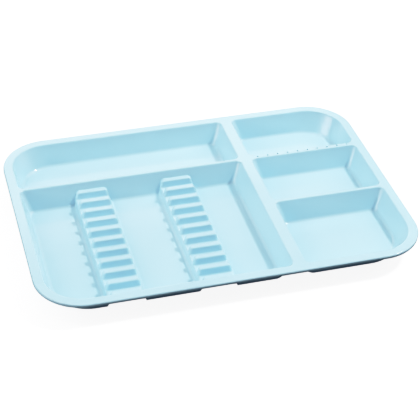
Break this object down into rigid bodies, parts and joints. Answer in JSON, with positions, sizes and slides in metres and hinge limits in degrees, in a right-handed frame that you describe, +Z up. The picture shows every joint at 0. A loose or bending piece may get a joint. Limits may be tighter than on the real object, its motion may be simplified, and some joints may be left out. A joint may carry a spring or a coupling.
{
  "type": "divided instrument tray",
  "caption": "Shallow divided dental set-up tray with a flat rim, long wells, small cups, ribbed instrument racks and a row of bur holes.",
  "frame": {"origin": "centre of the tray's bounding box, on the plane that its well floors rest on", "axes": "+X along the long side, +Y to the rear edge (away from the instrument racks' front ends), +Z up"},
  "size_m": [0.3398, 0.2444, 0.0222],
  "materials": {
    "tray_plastic": "smooth moulded, semi-gloss, pale aqua blue"
  },
  "bodies": {
    "root": {"rim_lip": "tray_plastic", "rim_flange": "tray_plastic", "spine_cap": "tray_plastic", "left_divider_cap": "tray_plastic", "bur_divider_cap": "tray_plastic", "cup_divider_cap": "tray_plastic", "rear_left_well": "tray_plastic", "front_left_well": "tray_plastic", "rear_cup": "tray_plastic", "middle_cup": "tray_plastic", "front_cup": "tray_plastic", "instrument_rack_left": "tray_plastic", "instrument_rack_right": "tray_plastic"}
  },
  "joints": []
}
